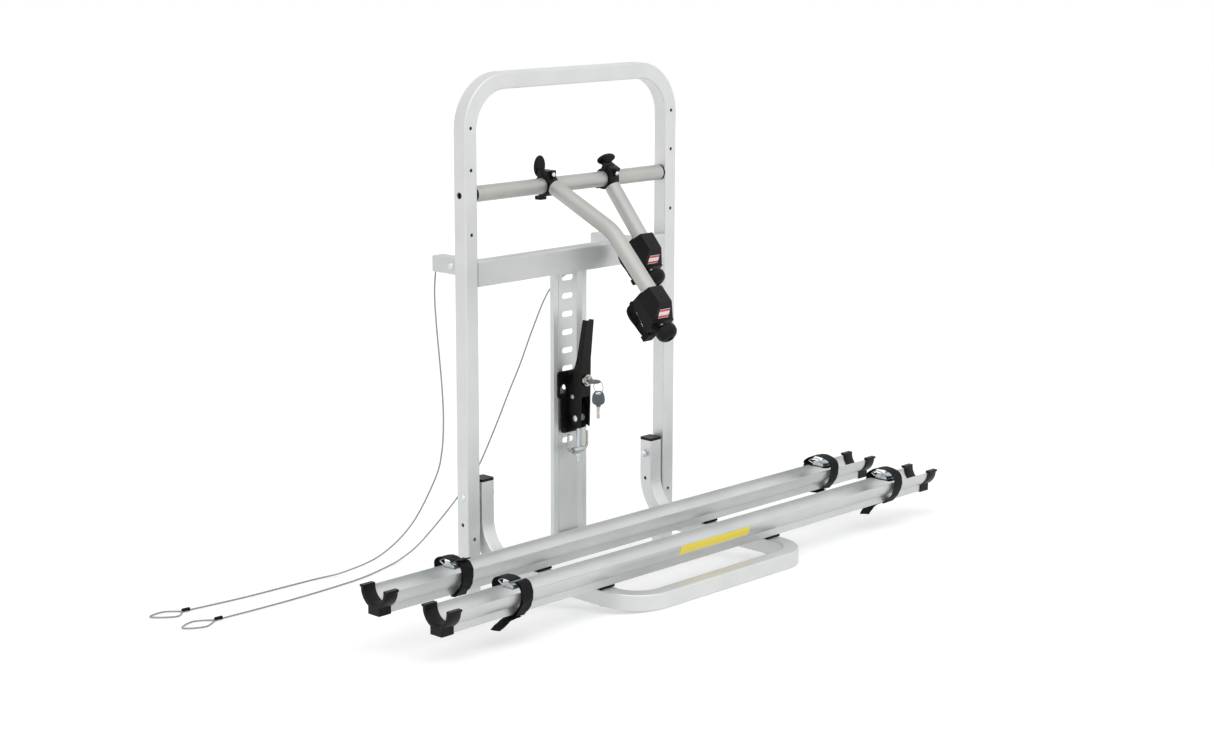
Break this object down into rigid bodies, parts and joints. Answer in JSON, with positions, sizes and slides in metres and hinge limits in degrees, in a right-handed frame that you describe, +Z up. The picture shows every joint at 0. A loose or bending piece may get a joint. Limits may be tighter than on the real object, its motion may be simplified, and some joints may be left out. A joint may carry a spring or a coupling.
{
  "type": "spare wheel bike rack",
  "caption": "Bike rack for a vehicle's spare wheel: bent tube frame with bike arms, tension lever, slotted channel and a folding platform with wheel rails.",
  "frame": {"origin": "on the ground, midway between the front faces of the two legs", "axes": "+X to the right along the rails, +Y back to the vehicle, +Z up along the legs"},
  "size_m": [1.4395, 0.7515, 0.96],
  "materials": {
    "anodised": "satin silver anodised",
    "round_tube": "matt silver anodised, fine grain",
    "black_plastic": "moulded black, slight sheen",
    "black_rubber": "moulded black rubber",
    "black_paint": "black powder coat",
    "zinc": "bright zinc plated",
    "chrome": "polished nickel",
    "webbing": "black woven webbing",
    "grey_plastic": "dark grey plastic bow, plated blade",
    "coated_cable": "steel cable in a clear coat"
  },
  "bodies": {
    "frame": {"main_frame": "anodised", "leg_plugs": "black_plastic", "cross_tube": "round_tube", "cross_tube_plugs": "black_plastic", "upper_crossbeam": "anodised", "lower_crossbeam": "anodised", "rear_arms": "anodised", "rear_arm_bolts": "zinc", "centre_channel": "anodised", "channel_rivets": "zinc", "pivot_bolts": "zinc", "lever_base": "black_paint", "base_bolts": "zinc", "lever_rivets": "zinc", "cable_anchors": "zinc", "cable_left": "coated_cable", "cable_right": "coated_cable", "eye_left": "coated_cable", "eye_right": "coated_cable"},
    "platform": {"platform_tube": "anodised", "platform_caps": "black_plastic", "rail_front": "anodised", "rail_rear": "anodised", "rail_caps": "black_plastic", "rail_pads": "black_rubber", "rail_bolts": "zinc"},
    "lever": {"lever": "black_paint", "lock_barrel": "chrome"},
    "pull_rod": {"pull_rod": "zinc"},
    "hook": {"hook_barrel": "zinc", "wire_hook": "chrome"},
    "key": {"key": "grey_plastic"},
    "key_ring": {"key_ring": "chrome"},
    "spare_key": {"spare_key": "grey_plastic"},
    "strap_1": {"wheel_strap_1": "webbing", "strap_buckle_1": "zinc"},
    "buckle_lever_1": {"buckle_lever_1": "zinc"},
    "strap_2": {"wheel_strap_2": "webbing", "strap_buckle_2": "zinc"},
    "buckle_lever_2": {"buckle_lever_2": "zinc"},
    "strap_3": {"wheel_strap_3": "webbing", "strap_buckle_3": "zinc"},
    "buckle_lever_3": {"buckle_lever_3": "zinc"},
    "strap_4": {"wheel_strap_4": "webbing", "strap_buckle_4": "zinc"},
    "buckle_lever_4": {"buckle_lever_4": "zinc"},
    "sleeve_1": {"slip_sleeve_1": "black_plastic"},
    "arm_1": {"arm_clamp_1": "black_plastic", "arm_tube_1": "round_tube", "claw_housing_1": "black_plastic"},
    "clamp_knob_1": {"clamp_knob_1": "black_plastic"},
    "claw_strap_1": {"claw_strap_1": "black_rubber"},
    "claw_knob_1": {"claw_knob_1": "black_plastic"},
    "sleeve_2": {"slip_sleeve_2": "black_plastic"},
    "arm_2": {"arm_clamp_2": "black_plastic", "arm_tube_2": "round_tube", "claw_housing_2": "black_plastic"},
    "clamp_knob_2": {"clamp_knob_2": "black_plastic"},
    "claw_strap_2": {"claw_strap_2": "black_rubber"},
    "claw_knob_2": {"claw_knob_2": "black_plastic"}
  },
  "joints": [
    {"name": "platform_fold", "type": "hinge", "parent": "frame", "child": "platform", "pos_m": [0, 0.015, 0.198], "axis": [-1, 0, 0], "range_deg": [0, 45]},
    {"name": "lever_throw", "type": "hinge", "parent": "frame", "child": "lever", "pos_m": [0, -0.012, 0.308], "axis": [1, 0, 0], "range_deg": [0, 80]},
    {"name": "arm_1_shift", "type": "slide", "parent": "frame", "child": "sleeve_1", "axis": [1, 0, 0], "range_m": [-0.12, 0.035]},
    {"name": "arm_1_swing", "type": "hinge", "parent": "sleeve_1", "child": "arm_1", "pos_m": [-0.059, 0.015, 0.7475], "axis": [-1, 0, 0], "range_deg": [-5, 75]},
    {"name": "clamp_knob_1_turn", "type": "hinge", "parent": "arm_1", "child": "clamp_knob_1", "pos_m": [-0.059, 0.039, 0.7685], "axis": [0, 1, 0], "continuous": true},
    {"name": "claw_strap_1_open", "type": "hinge", "parent": "arm_1", "child": "claw_strap_1", "pos_m": [-0.059, -0.21079, 0.55555], "axis": [1, 0, 0], "range_deg": [0, 60]},
    {"name": "claw_knob_1_turn", "type": "hinge", "parent": "arm_1", "child": "claw_knob_1", "pos_m": [-0.059, -0.27396, 0.52275], "axis": [0, -0.6871, -0.7266], "continuous": true},
    {"name": "arm_2_shift", "type": "slide", "parent": "frame", "child": "sleeve_2", "axis": [1, 0, 0], "range_m": [-0.035, 0.1]},
    {"name": "arm_2_swing", "type": "hinge", "parent": "sleeve_2", "child": "arm_2", "pos_m": [0.1, 0.015, 0.7475], "axis": [-1, 0, 0], "range_deg": [0, 75]},
    {"name": "clamp_knob_2_turn", "type": "hinge", "parent": "arm_2", "child": "clamp_knob_2", "pos_m": [0.1, 0.02757, 0.77681], "axis": [0, 0.9018, 0.4321], "continuous": true},
    {"name": "claw_strap_2_open", "type": "hinge", "parent": "arm_2", "child": "claw_strap_2", "pos_m": [0.1, -0.03905, 0.61902], "axis": [1, 0, 0], "range_deg": [0, 50]},
    {"name": "claw_knob_2_turn", "type": "hinge", "parent": "arm_2", "child": "claw_knob_2", "pos_m": [0.1, -0.10017, 0.58254], "axis": [0, -0.6428, -0.766], "continuous": true},
    {"name": "strap_1_shift", "type": "slide", "parent": "platform", "child": "strap_1", "axis": [1, 0, 0], "range_m": [-0.13, 0.15]},
    {"name": "buckle_lever_1_open", "type": "hinge", "parent": "strap_1", "child": "buckle_lever_1", "pos_m": [-0.442, -0.2858, 0.14045], "axis": [-1, 0, 0], "range_deg": [0, 20]},
    {"name": "strap_2_shift", "type": "slide", "parent": "platform", "child": "strap_2", "axis": [1, 0, 0], "range_m": [-0.13, 0.15]},
    {"name": "buckle_lever_2_open", "type": "hinge", "parent": "strap_2", "child": "buckle_lever_2", "pos_m": [-0.433, -0.1303, 0.14045], "axis": [-1, 0, 0], "range_deg": [0, 20]},
    {"name": "strap_3_shift", "type": "slide", "parent": "platform", "child": "strap_3", "axis": [1, 0, 0], "range_m": [-0.28, 0.09]},
    {"name": "buckle_lever_3_open", "type": "hinge", "parent": "strap_3", "child": "buckle_lever_3", "pos_m": [0.58, -0.2858, 0.14045], "axis": [-1, 0, 0], "range_deg": [0, 20]},
    {"name": "strap_4_shift", "type": "slide", "parent": "platform", "child": "strap_4", "axis": [1, 0, 0], "range_m": [-0.28, 0.09]},
    {"name": "buckle_lever_4_open", "type": "hinge", "parent": "strap_4", "child": "buckle_lever_4", "pos_m": [0.575, -0.1303, 0.14045], "axis": [-1, 0, 0], "range_deg": [0, 20]},
    {"name": "pull_rod_swing", "type": "hinge", "parent": "lever", "child": "pull_rod", "pos_m": [0, -0.006, 0.349], "axis": [1, 0, 0], "range_deg": [-80, 0]},
    {"name": "hook_adjust", "type": "slide", "parent": "pull_rod", "child": "hook", "axis": [0, 0, 1], "range_m": [0, 0.02]},
    {"name": "key_turn", "type": "hinge", "parent": "lever", "child": "key", "pos_m": [0, -0.038, 0.382], "axis": [0, 1, 0], "range_deg": [0, 90]},
    {"name": "ring_swing", "type": "hinge", "parent": "key", "child": "key_ring", "pos_m": [0, -0.06, 0.3737], "axis": [1, 0, 0], "range_deg": [-80, 0]},
    {"name": "spare_key_swing", "type": "hinge", "parent": "key_ring", "child": "spare_key", "pos_m": [0, -0.06, 0.3617], "axis": [0, 1, 0], "range_deg": [-90, 0]}
  ],
  "couplings": [
    {"joint": "pull_rod_swing", "follows": "lever_throw", "ratio": -1},
    {"joint": "ring_swing", "follows": "lever_throw", "ratio": -1},
    {"joint": "spare_key_swing", "follows": "key_turn", "ratio": -1}
  ]
}
